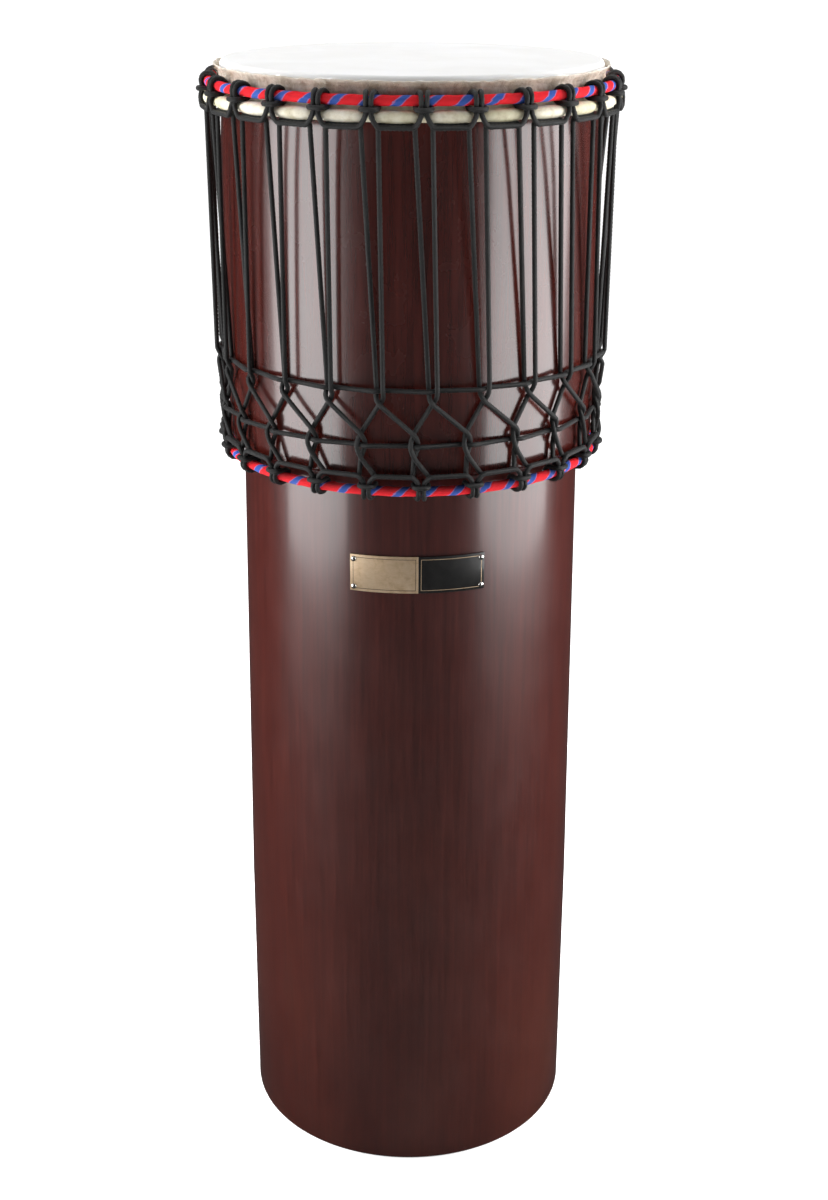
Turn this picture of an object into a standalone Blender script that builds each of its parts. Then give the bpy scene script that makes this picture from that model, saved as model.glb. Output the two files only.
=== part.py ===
"""Rope-tuned ngoma drum: a long straight tube carrying a wider upper shell,
with a skin head laced down to a lower ring by a woven rope net.

World frame: metres, +Z up, the drum stands on its open lower rim at z = 0,
its axis is the Z axis and the badge side faces -Y.
The design is worked out in millimetres and scaled once, by MM.
"""
import bpy
import bmesh
from math import sin, cos, radians, pi

MM = 0.001

# ---------------------------------------------------------------------------
# Driving dimensions, millimetres
# ---------------------------------------------------------------------------
STEPS = 48                 # facets round every turned piece

TUBE_FOOT_R = 145.4        # lower tube, outside, from the foot to TUBE_STRAIGHT_Z
TUBE_NECK_R = 141.4        # lower tube, outside, just under the upper shell
TUBE_STRAIGHT_Z = 230.0
TUBE_WALL = 8.0
TUBE_TOP_Z = 709.0         # the tube runs this far up inside the upper shell
SPIGOT_R = 141.0

SHELL_FOOT_Z = 650.3       # upper shell, lower edge
SHELL_CREST_Z = 951.2      # upper shell, bearing edge
SHELL_CREST_R = 148.9
SHELL_MOUTH_R = 151.7      # upper shell, outside, under the skin
SHELL_BELLY_R = 154.0
SHELL_BORE_R = 144.5

SKIN = 0.65                # drumhead skin thickness
HEAD_Z = 952.1             # middle of the skin over the mouth

CROWN_R, CROWN_Z = 161.3, 936.2      # crown ring, centre of the rod
LOWER_R, LOWER_Z = 152.9, 640.4      # lower ring, centre of the rod
ROD = 2.9                  # ring rod radius
CLOTH_IN, CLOTH_OUT = 3.45, 4.05     # cloth cover, inside and outside radius
RING_OUT = 3.8             # mean outside of rod and cloth
HOOP_R, HOOP_Z = 162.0, 924.7        # flesh hoop, centre of the rod
HOOP_ROD = 2.5
HOOP_OUT = 3.65            # rod with the skin folded round it

CELLS = 24                 # rope cells around the drum
CORD_R = 1.7               # radius of the pulled cord
PITCH = 3.85               # centre distance of two cords that press together
HALF = PITCH / 2
CLEAR = 0.3                # air between touching pieces
TURN = 3.0                 # the first hitch sits this many degrees right of the front

ROW_A_R, ROW_A_Z = 158.9, 722.0      # upper weaving row
ROW_B_R, ROW_B_Z = 158.0, 678.3      # lower weaving row
TOP_BAR = (167.6, 917.7)             # hitch cord under the flesh hoop (radius, height)
TOP_RUN = (164.0, 919.2)             # lacing cord behind that bar
LOW_BAR = (160.3, 654.3)             # hitch cord over the lower ring
LOW_RUN = (156.4, 652.8)             # lacing cord behind that bar
BAR_END = 6.5                        # bars start this far beside the hitch
A_SHIFT, B_SHIFT = 8.6, -5.4         # crossings beside the hitch line

BADGE_W, BADGE_H, BADGE_T = 110.0, 31.0, 0.8
BADGE_Z = 567.0
BADGE_TURN = 2.5           # degrees right of the front
BADGE_R = 142.55           # inside face
NAIL_SIDE, NAIL_RISE = 52.0, 11.7    # nails from the badge centre
NAIL_HEAD_R, NAIL_HEAD_H = 2.3, 1.3
NAIL_SHANK_R, NAIL_LENGTH = 0.7, 6.5

for old in list(bpy.data.objects):
    bpy.data.objects.remove(old, do_unlink=True)


# ---------------------------------------------------------------------------
# Materials
# ---------------------------------------------------------------------------
def material(name, colour, roughness, metallic=0.0):
    mat = bpy.data.materials.new(name)
    mat.use_nodes = True
    node = mat.node_tree.nodes["Principled BSDF"]
    node.inputs["Base Color"].default_value = (*colour, 1.0)
    node.inputs["Roughness"].default_value = roughness
    node.inputs["Metallic"].default_value = metallic
    mat.diffuse_color = (*colour, 1.0)
    return mat


def finish(obj, mat, sharp=40.0):
    obj.data.materials.append(mat)
    if obj.type == "MESH":
        obj.data.shade_smooth()
        obj.data.set_sharp_from_angle(angle=radians(sharp))
    return obj


def mesh_object(name, bm):
    data = bpy.data.meshes.new(name)
    bm.to_mesh(data)
    bm.free()
    obj = bpy.data.objects.new(name, data)
    bpy.context.collection.objects.link(obj)
    return obj


# ---------------------------------------------------------------------------
# Turned pieces: a closed outline (radius, height) spun round the Z axis
# ---------------------------------------------------------------------------
def turned(name, outline, mat, sharp=40.0, steps=STEPS):
    bm = bmesh.new()
    verts = [bm.verts.new((r * MM, 0.0, z * MM)) for r, z in outline]
    edges = [bm.edges.new((verts[i], verts[(i + 1) % len(verts)])) for i in range(len(verts))
             if outline[i][0] > 0 or outline[(i + 1) % len(outline)][0] > 0]
    bmesh.ops.spin(bm, geom=verts + edges, cent=(0, 0, 0), axis=(0, 0, 1), angle=2 * pi,
                   steps=steps, use_merge=True, use_duplicate=False)
    bmesh.ops.remove_doubles(bm, verts=bm.verts, dist=0.00001)
    bmesh.ops.recalc_face_normals(bm, faces=bm.faces)
    return finish(mesh_object(name, bm), mat, sharp)


def round_outline(centre_r, centre_z, radius, sides):
    return [(centre_r + radius * cos(2 * pi * (i + 0.5) / sides),
             centre_z + radius * sin(2 * pi * (i + 0.5) / sides)) for i in range(sides)]


def cover_outline(centre_r, centre_z, inner, outer, sides, slit=9.0):
    """Section of a cloth cover folded round a rod, its edges meeting on the
    side that faces the drum."""
    angles = [radians(180 + slit / 2 + (360 - slit) * i / sides) for i in range(sides + 1)]
    out = [(centre_r + outer * cos(a), centre_z + outer * sin(a)) for a in angles]
    back = [(centre_r + inner * cos(a), centre_z + inner * sin(a)) for a in reversed(angles)]
    return out + back


def tube_outer(z):
    """Outside radius of the lower tube: straight foot, gentle taper above."""
    t = min(1.0, max(0.0, (z - TUBE_STRAIGHT_Z) / (640.0 - TUBE_STRAIGHT_Z)))
    return TUBE_FOOT_R + (TUBE_NECK_R - TUBE_FOOT_R) * t


def tube_outline():
    w = TUBE_WALL
    outer = [(TUBE_FOOT_R - 1.2, 0.0), (TUBE_FOOT_R, 1.2), (TUBE_FOOT_R, TUBE_STRAIGHT_Z),
             (TUBE_NECK_R, 640.0), (SPIGOT_R, 652.0), (SPIGOT_R, TUBE_TOP_Z - 1.0),
             (SPIGOT_R - 1.0, TUBE_TOP_Z)]
    inner = [(SPIGOT_R - w, TUBE_TOP_Z), (SPIGOT_R - w, 640.0),
             (TUBE_FOOT_R - w, TUBE_STRAIGHT_Z), (TUBE_FOOT_R - w, 0.0)]
    return outer + inner


def shell_outline():
    bore = SPIGOT_R + CLEAR
    return [(bore, SHELL_FOOT_Z), (150.6, SHELL_FOOT_Z), (152.6, SHELL_FOOT_Z + 2.4),
            (153.4, 700.0), (SHELL_BELLY_R, 780.0), (153.6, 870.0), (152.4, 908.0),
            (SHELL_MOUTH_R, 922.0), (SHELL_MOUTH_R, 945.5), (SHELL_MOUTH_R - 0.8, 949.2),
            (SHELL_CREST_R, SHELL_CREST_Z), (SHELL_CREST_R - 2.4, 949.4),
            (SHELL_BORE_R, 943.0), (SHELL_BORE_R, TUBE_TOP_Z + 7.0), (bore, TUBE_TOP_Z + 3.0)]


def skin_middle():
    """Middle line of the skin: over the mouth, down the outside of the shell,
    round the flesh hoop, up inside the crown ring and out in a trimmed collar."""
    down = SHELL_MOUTH_R + 0.25 + SKIN / 2
    back = down + SKIN + 0.25
    line = [(0.0, HEAD_Z), (SHELL_CREST_R - 0.2, HEAD_Z), (down - 0.9, 950.1), (down, 947.2),
            (down, 929.0), (down + 1.2, 925.2), (down + 4.2, 922.6)]
    fold = HOOP_OUT - SKIN / 2
    line += [(HOOP_R + fold * cos(radians(a)), HOOP_Z + fold * sin(radians(a)))
             for a in (-100, -50, 0, 45, 90, 128)]
    line += [(156.6, 927.0), (back + 1.0, 928.9), (back, 932.0), (back, 943.6),
             (back + 1.9, 946.2), (158.6, 948.8)]
    return line


def thick_line(line, t):
    """Closed outline of a sheet of thickness t along a middle line."""
    left, right = [], []
    for i, (r, z) in enumerate(line):
        r0, z0 = line[max(0, i - 1)]
        r1, z1 = line[min(len(line) - 1, i + 1)]
        d = ((r1 - r0) ** 2 + (z1 - z0) ** 2) ** 0.5
        nr, nz = -(z1 - z0) / d * t / 2, (r1 - r0) / d * t / 2
        if i == 0:
            nr = 0.0
        left.append((r + nr, z + nz))
        right.append((r - nr, z - nz))
    return left + right[::-1]


# ---------------------------------------------------------------------------
# Rope net
# ---------------------------------------------------------------------------
def crowding(z):
    """Share by which the hand-laid cells sit closer together at the front."""
    low, high = -0.04, 0.085
    t = min(1.0, max(0.0, (z - LOWER_Z) / (CROWN_Z - LOWER_Z)))
    return low + (high - low) * sin(t * pi / 2) ** 0.75


def place(k, u, r, z):
    """Point beside hitch line k: u mm to the right, at radius r and height z."""
    a = 2 * pi / CELLS * k
    t = radians(TURN) + a - crowding(z) * sin(a) + u / r
    return (r * sin(t), -r * cos(t), z)


def hitch(ring_r, ring_z, up, leg, lean=0.0):
    """Right half of a cow hitch, from the end of its leg to the bight.
    up is 1 when the cord goes over the top of the ring, -1 when under it."""
    step = 50
    wrap = (RING_OUT + CORD_R + CLEAR) / cos(radians(step / 2))
    pts = list(leg)
    pts.append((HALF, ring_r + 4.4, ring_z - (6.0 + 0.4 * lean) * up))
    for i in range(7):
        a = radians(5 + step * i)
        side = sin(pi / 2 * min(1.0, i / 5)) ** 2
        pts.append((HALF + PITCH * side, ring_r + wrap * cos(a), ring_z + wrap * sin(a) * up))
    low = (5.8 - 0.5 * lean) * up
    pts.append((HALF + 0.93 * PITCH, ring_r + 6.6 + 0.5 * lean, ring_z - low))
    pts.append((HALF + 0.33 * PITCH, ring_r + 4.5 + PITCH + 0.5 * lean, ring_z - low))
    return pts


def hitch_cord(half):
    """All hitches of one ring in one endless cord, joined by the bars."""
    pts = []
    for k in range(CELLS):
        pts += [place(k, -u, r, z) for u, r, z in half]
        pts += [place(k, u, r, z) for u, r, z in reversed(half)]
    return pts


def crown_hitches():
    leg = [(BAR_END, *TOP_BAR), (HALF, HOOP_R + HOOP_OUT + CORD_R + 0.7, HOOP_Z + 0.8)]
    return hitch_cord(hitch(CROWN_R, CROWN_Z, 1, leg))


def lower_hitches():
    leg = [(BAR_END, *LOW_BAR), (HALF + 0.8, LOWER_R + 6.6, LOWER_Z + 9.2)]
    return hitch_cord(hitch(LOWER_R, LOWER_Z, -1, leg, 1.0))


# Two strands turn round their middle on the way down: height from the row,
# half distance in cord pitches, and the angle of the strand from the left.
TWIST_A = ((0.0, 1.14, 225), (-6.0, 0.78, 170), (-10.2, 0.54, 90))
TWIST_B = ((8.6, 0.58, 63), (0.0, 1.18, -35), (-9.2, 0.52, -93))


def strand(k, shift, row_r, row_z, twist, side):
    pts = []
    for dz, h, ang in twist:
        du = side * h * PITCH * cos(radians(ang))
        dr = side * h * PITCH * sin(radians(ang))
        pts.append(place(k, shift + du, row_r + dr, row_z + dz))
    return pts


def lacing():
    """The endless lacing cord: down from one top bar, along a low bar, up to
    the same hitch line and along the next top bar, one cell on each round."""
    pts = []
    for k in range(CELLS):
        fall = [place(k, -BAR_END, *TOP_RUN)]
        fall += strand(k, A_SHIFT, ROW_A_R, ROW_A_Z, TWIST_A, 1)
        fall += strand(k + 1, B_SHIFT, ROW_B_R, ROW_B_Z, TWIST_B, 1)
        fall += [place(k + 1, -BAR_END, *LOW_RUN)]
        rise = [place(k, BAR_END, *TOP_RUN)]
        rise += strand(k, A_SHIFT, ROW_A_R, ROW_A_Z, TWIST_A, -1)
        rise += strand(k, B_SHIFT, ROW_B_R, ROW_B_Z, TWIST_B, -1)
        rise += [place(k, BAR_END, *LOW_RUN)]
        pts += fall + rise[::-1]
    return pts


def weaving_row(shift, row_r, row_z, first):
    """Horizontal cord that passes the strand left of each crossing on one
    face (first = 1 outside, -1 inside) and the strand right of it on the other."""
    pts = []
    for k in range(CELLS):
        for side in (-1, 1):
            pts.append(place(k, shift + side * 0.83 * PITCH,
                             row_r - side * first * 0.6 * PITCH, row_z))
    return pts


def cord(name, points, mat, sides_level):
    """Endless round cord along points given in millimetres."""
    data = bpy.data.curves.new(name, "CURVE")
    data.dimensions = "3D"
    data.bevel_depth = CORD_R * MM
    data.bevel_resolution = sides_level
    data.use_fill_caps = True
    line = data.splines.new("POLY")
    line.points.add(len(points) - 1)
    for p, (x, y, z) in zip(line.points, points):
        p.co = (x * MM, y * MM, z * MM, 1.0)
    line.use_cyclic_u = True
    obj = bpy.data.objects.new(name, data)
    bpy.context.collection.objects.link(obj)
    data.materials.append(mat)
    return obj


# ---------------------------------------------------------------------------
# Badge and nails
# ---------------------------------------------------------------------------
def badge(name, mat):
    """Thin plate bent to the tube; the nail holes are cut later."""
    bm = bmesh.new()
    parts = 8
    span = BADGE_W / BADGE_R
    cut = 1.5
    bottom = BADGE_Z - BADGE_H / 2
    base = []
    for i in range(parts + 1):
        t = radians(BADGE_TURN) + span * (i / parts - 0.5)
        rise = cut if i in (0, parts) else 0.0
        base.append(bm.verts.new((BADGE_R * sin(t) * MM, -BADGE_R * cos(t) * MM, (bottom + rise) * MM)))
    edges = [bm.edges.new((a, b)) for a, b in zip(base, base[1:])]
    up = bmesh.ops.extrude_edge_only(bm, edges=edges)["geom"]
    for v in up:
        if isinstance(v, bmesh.types.BMVert):
            v.co.z = 2 * BADGE_Z * MM - v.co.z
    bmesh.ops.recalc_face_normals(bm, faces=bm.faces)
    out = bmesh.ops.extrude_face_region(bm, geom=list(bm.faces))["geom"]
    scale = (BADGE_R + BADGE_T) / BADGE_R
    for v in out:
        if isinstance(v, bmesh.types.BMVert):
            v.co.x *= scale
            v.co.y *= scale
    bmesh.ops.recalc_face_normals(bm, faces=bm.faces)
    return finish(mesh_object(name, bm), mat)


def nail_frames():
    out = []
    for side in (-1, 1):
        for rise in (1, -1):
            t = radians(BADGE_TURN) + side * NAIL_SIDE / BADGE_R
            out.append((t, BADGE_Z + rise * NAIL_RISE))
    return out


def spun_along_y(name, outline, steps=8):
    """Turned piece whose axis is local Y: outline is (radius, depth), with
    depth running from the head outwards."""
    bm = bmesh.new()
    verts = [bm.verts.new((r * MM, y * MM, 0.0)) for r, y in outline]
    edges = [bm.edges.new((a, b)) for a, b in zip(verts, verts[1:])]
    bmesh.ops.spin(bm, geom=verts + edges, cent=(0, 0, 0), axis=(0, 1, 0), angle=2 * pi,
                   steps=steps, use_merge=True, use_duplicate=False)
    bmesh.ops.remove_doubles(bm, verts=bm.verts, dist=0.00001)
    bmesh.ops.recalc_face_normals(bm, faces=bm.faces)
    return mesh_object(name, bm)


def stand_radially(obj, t, radius, z):
    """Put the piece's origin at that radius, its local -Y pointing outwards."""
    obj.location = (radius * sin(t) * MM, -radius * cos(t) * MM, z * MM)
    obj.rotation_euler = (0.0, 0.0, t)


def nail_outline():
    h = NAIL_HEAD_H
    return [(0.0, -h), (NAIL_HEAD_R * 0.55, -h * 0.82), (NAIL_HEAD_R, -h * 0.15), (NAIL_HEAD_R, 0.0),
            (NAIL_SHANK_R, 0.0), (NAIL_SHANK_R, NAIL_LENGTH - 1.5), (0.0, NAIL_LENGTH)]


# ---------------------------------------------------------------------------
# Build
# ---------------------------------------------------------------------------
stain = material("mahogany stain", (0.085, 0.014, 0.010), 0.28)
hide = material("goat skin", (0.80, 0.76, 0.68), 0.75)
steel = material("ring steel", (0.45, 0.45, 0.46), 0.38, 1.0)
cotton = material("striped cotton", (0.75, 0.03, 0.05), 0.85)
black_cord = material("black braided cord", (0.012, 0.012, 0.013), 0.62)
plate_brass = material("badge brass", (0.62, 0.44, 0.20), 0.32, 1.0)
bright = material("nail nickel", (0.78, 0.78, 0.76), 0.22, 1.0)

tube = turned("lower_tube", tube_outline(), stain)
shell = turned("upper_shell", shell_outline(), stain)
turned("drumhead_skin", thick_line(skin_middle(), SKIN), hide, 60.0)
turned("flesh_hoop", round_outline(HOOP_R, HOOP_Z, HOOP_ROD, 6), steel, 80.0)
turned("crown_ring", round_outline(CROWN_R, CROWN_Z, ROD, 6), steel, 80.0)
turned("crown_ring_cloth", cover_outline(CROWN_R, CROWN_Z, CLOTH_IN, CLOTH_OUT, 7), cotton, 80.0)
turned("lower_ring", round_outline(LOWER_R, LOWER_Z, ROD, 6), steel, 80.0)
turned("lower_ring_cloth", cover_outline(LOWER_R, LOWER_Z, CLOTH_IN, CLOTH_OUT, 7), cotton, 80.0)

cord("crown_hitch_cord", crown_hitches(), black_cord, 0)
cord("lower_hitch_cord", lower_hitches(), black_cord, 0)
cord("lacing_cord", lacing(), black_cord, 0)
cord("upper_weaving_cord", weaving_row(A_SHIFT, ROW_A_R, ROW_A_Z, 1), black_cord, 1)
cord("lower_weaving_cord", weaving_row(B_SHIFT, ROW_B_R, ROW_B_Z, -1), black_cord, 1)

plate = badge("badge_plate", plate_brass)
names = ("nail_upper_left", "nail_lower_left", "nail_upper_right", "nail_lower_right")
seat = BADGE_R + BADGE_T + CLEAR
for name, (t, z) in zip(names, nail_frames()):
    nail = finish(spun_along_y(name, nail_outline()), bright, 50.0)
    stand_radially(nail, t, seat, z)
    drill = spun_along_y(name + "_hole", [(0.0, -4.0), (NAIL_SHANK_R + CLEAR, -4.0),
                                          (NAIL_SHANK_R + CLEAR, NAIL_LENGTH + 0.3),
                                          (0.0, NAIL_LENGTH + 0.6)], 6)
    stand_radially(drill, t, seat, z)
    drill.hide_render = True
    drill.display_type = "WIRE"
    for target in (tube, plate):
        cut = target.modifiers.new("hole for " + name, "BOOLEAN")
        cut.operation = "DIFFERENCE"
        cut.object = drill
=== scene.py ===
import random
import bpy
import numpy as np
from math import sin, cos, radians, pi, degrees, atan2
from mathutils import Matrix, Vector, noise


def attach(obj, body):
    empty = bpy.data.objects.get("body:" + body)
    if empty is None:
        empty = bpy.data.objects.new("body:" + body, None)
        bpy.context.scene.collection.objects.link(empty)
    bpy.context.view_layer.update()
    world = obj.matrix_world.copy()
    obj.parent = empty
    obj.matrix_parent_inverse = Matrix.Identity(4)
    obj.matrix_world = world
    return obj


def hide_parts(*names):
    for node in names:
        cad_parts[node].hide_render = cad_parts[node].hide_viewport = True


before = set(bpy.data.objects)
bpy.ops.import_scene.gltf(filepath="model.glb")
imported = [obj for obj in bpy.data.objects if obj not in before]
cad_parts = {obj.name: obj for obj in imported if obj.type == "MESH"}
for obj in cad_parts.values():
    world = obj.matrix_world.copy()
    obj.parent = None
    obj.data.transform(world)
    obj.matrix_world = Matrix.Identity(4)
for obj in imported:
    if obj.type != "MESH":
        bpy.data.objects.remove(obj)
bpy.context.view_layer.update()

MM = 0.001

# ---------------------------------------------------------------------------
# Sizes of the drum, millimetres
# ---------------------------------------------------------------------------
TUBE_FOOT_R, TUBE_NECK_R, TUBE_STRAIGHT_Z = 145.4, 141.4, 230.0
TUBE_WALL, TUBE_TOP_Z, SPIGOT_R = 8.0, 709.0, 141.0
SHELL_FOOT_Z, SHELL_CREST_Z, SHELL_CREST_R = 650.3, 951.2, 148.9
SHELL_MOUTH_R, SHELL_BELLY_R, SHELL_BORE_R = 151.7, 154.0, 144.5
SKIN, HEAD_Z = 0.65, 952.1
CROWN_R, CROWN_Z = 161.3, 936.2
LOWER_R, LOWER_Z = 152.9, 640.4
CLOTH_OUT, RING_OUT = 4.05, 3.8
HOOP_R, HOOP_Z, HOOP_OUT = 162.0, 924.7, 3.65
CELLS, CORD_R, PITCH, CLEAR, TURN = 24, 1.7, 3.85, 0.3, 3.0
HALF = PITCH / 2
ROPE_R = 1.9
ROW_A_R, ROW_A_Z, ROW_B_R, ROW_B_Z = 158.9, 722.0, 158.0, 678.3
TOP_BAR, TOP_RUN = (167.6, 917.7), (164.0, 919.2)
LOW_BAR, LOW_RUN = (160.3, 654.3), (156.4, 652.8)
BAR_END, A_SHIFT, B_SHIFT = 6.5, 8.6, -5.4
BADGE_W, BADGE_H, BADGE_T, BADGE_Z, BADGE_TURN, BADGE_R = 110.0, 31.0, 0.8, 567.0, 2.5, 142.55
NAIL_SIDE, NAIL_RISE, NAIL_HEAD_R, NAIL_HEAD_H = 52.0, 11.7, 2.3, 1.3
NAIL_SHANK_R, NAIL_LENGTH = 0.7, 6.5


# ---------------------------------------------------------------------------
# Mesh helpers
# ---------------------------------------------------------------------------
def grid_mesh(name, P, wrap_u, wrap_v, uv=None):
    """Mesh of quads over a grid of points (nu, nv, 3) given in millimetres.
    uv, if given, is (nu + 1, nv + 1, 2) on a wrapped direction, else (nu, nv, 2)."""
    P = np.asarray(P, float)
    nu, nv = P.shape[:2]
    iu = np.arange(nu if wrap_u else nu - 1)
    iv = np.arange(nv if wrap_v else nv - 1)
    I, J = np.meshgrid(iu, iv, indexing="ij")
    I2, J2 = I + 1, J + 1
    corners = ((I, J), (I2, J), (I2, J2), (I, J2))
    quads = np.stack([(a % nu) * nv + b % nv for a, b in corners], -1).reshape(-1, 4)
    co = P.reshape(-1, 3)
    a, b, c, d = (co[quads[:, i]] for i in range(4))
    volume = (a * np.cross(b, c)).sum() + (a * np.cross(c, d)).sum()
    flip = volume < 0
    if flip:
        quads = quads[:, ::-1]
        corners = corners[::-1]
    me = bpy.data.meshes.new(name)
    me.vertices.add(len(co))
    me.vertices.foreach_set("co", (co * MM).astype(np.float32).ravel())
    me.loops.add(quads.size)
    me.loops.foreach_set("vertex_index", quads.astype(np.int32).ravel())
    me.polygons.add(len(quads))
    me.polygons.foreach_set("loop_start", np.arange(0, quads.size, 4, dtype=np.int32))
    me.update(calc_edges=True)
    if uv is not None:
        layer = me.uv_layers.new(name="UVMap")
        w = np.stack([uv[a, b] for a, b in corners], -2).reshape(-1, 2)
        layer.data.foreach_set("uv", w.astype(np.float32).ravel())
    me.validate()
    me.shade_smooth()
    return me


def piece(name, me, mat, slot, *nodes, sharp=None):
    obj = bpy.data.objects.new(name, me)
    bpy.context.scene.collection.objects.link(obj)
    me.materials.clear()
    me.materials.append(mat)
    if sharp:
        me.set_sharp_from_angle(angle=radians(sharp))
    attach(obj, "root")
    if nodes:
        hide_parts(*nodes)
    return obj


def spin(outline, steps):
    """Grid of a closed outline (radius, height) turned about Z."""
    o = np.array(outline, float)
    t = np.linspace(0, 2 * pi, steps, endpoint=False)
    P = np.zeros((steps, len(o), 3))
    P[..., 0] = np.cos(t)[:, None] * o[None, :, 0]
    P[..., 1] = np.sin(t)[:, None] * o[None, :, 0]
    P[..., 2] = o[None, :, 1]
    return P


def arc(r, z, rad, a0, a1, n):
    return [(r + rad * cos(radians(a0 + (a1 - a0) * i / n)), z + rad * sin(radians(a0 + (a1 - a0) * i / n)))
            for i in range(n + 1)]


def rail(a, b, n):
    return [(a[0] + (b[0] - a[0]) * i / n, a[1] + (b[1] - a[1]) * i / n) for i in range(1, n)]


def catmull(points, per):
    """Smooth open curve through the points."""
    p = [np.array(q, float) for q in points]
    p = [2 * p[0] - p[1]] + p + [2 * p[-1] - p[-2]]
    out = []
    for i in range(1, len(p) - 2):
        for j in range(per):
            t = j / per
            out.append(0.5 * (2 * p[i] + (p[i + 1] - p[i - 1]) * t
                              + (2 * p[i - 1] - 5 * p[i] + 4 * p[i + 1] - p[i + 2]) * t * t
                              + (3 * p[i] - p[i - 1] - 3 * p[i + 1] + p[i + 2]) * t ** 3))
    out.append(p[-2])
    return np.array(out)


# ---------------------------------------------------------------------------
# Node helpers
# ---------------------------------------------------------------------------
def add(nt, kind, inputs=None, **props):
    n = nt.nodes.new(kind)
    for k, v in props.items():
        setattr(n, k, v)
    for k, v in (inputs or {}).items():
        if isinstance(v, bpy.types.NodeSocket):
            nt.links.new(v, n.inputs[k])
        else:
            n.inputs[k].default_value = v
    return n


def math(nt, op, a, b=0.0, c=None, clamp=False):
    ins = {0: a, 1: b}
    if c is not None:
        ins[2] = c
    return add(nt, "ShaderNodeMath", ins, operation=op, use_clamp=clamp).outputs[0]


def ramp(nt, fac, stops, mode="LINEAR"):
    n = add(nt, "ShaderNodeValToRGB", {0: fac})
    n.color_ramp.interpolation = mode
    el = n.color_ramp.elements
    while len(el) < len(stops):
        el.new(0.5)
    for e, (pos, col) in zip(el, stops):
        e.position = pos
        e.color = (*col, 1.0) if len(col) == 3 else col
    return n.outputs[0]


def grey(v):
    return (v, v, v)


def mix(nt, fac, a, b, mode="MIX"):
    n = nt.nodes.new("ShaderNodeMix")
    n.data_type = "RGBA"
    n.blend_type = mode
    for i, v in ((0, fac), (6, a), (7, b)):
        if isinstance(v, bpy.types.NodeSocket):
            nt.links.new(v, n.inputs[i])
        elif i == 0:
            n.inputs[i].default_value = v
        else:
            n.inputs[i].default_value = (*v, 1.0)
    return n.outputs[2]


def noise_tex(nt, vec, scale, detail=3.0, rough=0.5, distort=0.0):
    return add(nt, "ShaderNodeTexNoise", {"Vector": vec, "Scale": scale, "Detail": detail,
                                          "Roughness": rough, "Distortion": distort}).outputs[0]


def stretched(nt, vec, scale):
    return add(nt, "ShaderNodeMapping", {"Vector": vec, "Scale": scale}).outputs[0]


def bump(nt, height, distance, strength=1.0, normal=None):
    ins = {"Height": height, "Distance": distance, "Strength": strength}
    if normal is not None:
        ins["Normal"] = normal
    return add(nt, "ShaderNodeBump", ins).outputs[0]


def new_material(name):
    m = bpy.data.materials.new(name)
    m.use_nodes = True
    nt = m.node_tree
    return m, nt, nt.nodes["Principled BSDF"]


# ---------------------------------------------------------------------------
# Materials
# ---------------------------------------------------------------------------
def stained_wood(name, rough):
    m, nt, b = new_material(name)
    co = add(nt, "ShaderNodeTexCoord").outputs["Object"]
    grain = noise_tex(nt, stretched(nt, co, (1, 1, 0.035)), 260, 5, 0.6, 0.3)
    pores = noise_tex(nt, stretched(nt, co, (1, 1, 0.06)), 1300, 3, 0.6)
    cloud = noise_tex(nt, stretched(nt, co, (1, 1, 0.45)), 11, 4, 0.5)
    blot = noise_tex(nt, stretched(nt, co, (1, 1, 0.7)), 34, 4, 0.5)
    z = add(nt, "ShaderNodeSeparateXYZ", {0: co}).outputs[2]
    low = add(nt, "ShaderNodeMapRange", {"Value": z, "From Min": 0.62, "From Max": 0.0,
                                         "To Min": 0.0, "To Max": 1.0}).outputs[0]
    base = ramp(nt, grain, [(0.25, (0.038, 0.0042, 0.0028)), (0.5, (0.060, 0.0072, 0.0046)),
                            (0.75, (0.084, 0.0115, 0.0070))])
    brown = ramp(nt, cloud, [(0.30, (0.030, 0.0062, 0.0038)), (0.55, (0.055, 0.0125, 0.0072)),
                             (0.75, (0.074, 0.0195, 0.0108))])
    tint = mix(nt, math(nt, "MULTIPLY", low, 0.62), base, brown)
    shade = ramp(nt, blot, [(0.3, grey(0.86)), (0.7, grey(1.08))])
    tint = mix(nt, 0.35, tint, shade, "MULTIPLY")
    dark = ramp(nt, pores, [(0.36, grey(0.72)), (0.52, grey(1.0))])
    tint = mix(nt, 0.3, tint, dark, "MULTIPLY")
    nt.links.new(tint, b.inputs["Base Color"])
    r = add(nt, "ShaderNodeMapRange", {"Value": blot, "From Min": 0.3, "From Max": 0.7,
                                       "To Min": rough - 0.02, "To Max": rough + 0.03}).outputs[0]
    nt.links.new(r, b.inputs["Roughness"])
    b.inputs["Coat Weight"].default_value = 0.55
    b.inputs["Coat Roughness"].default_value = 0.14
    n = bump(nt, pores, 0.00010, 0.2)
    nt.links.new(n, b.inputs["Normal"])
    swell = noise_tex(nt, stretched(nt, co, (1, 1, 0.5)), 6, 1, 0.4)
    nt.links.new(bump(nt, swell, 0.0015, 0.30), b.inputs["Coat Normal"])
    return m


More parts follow.
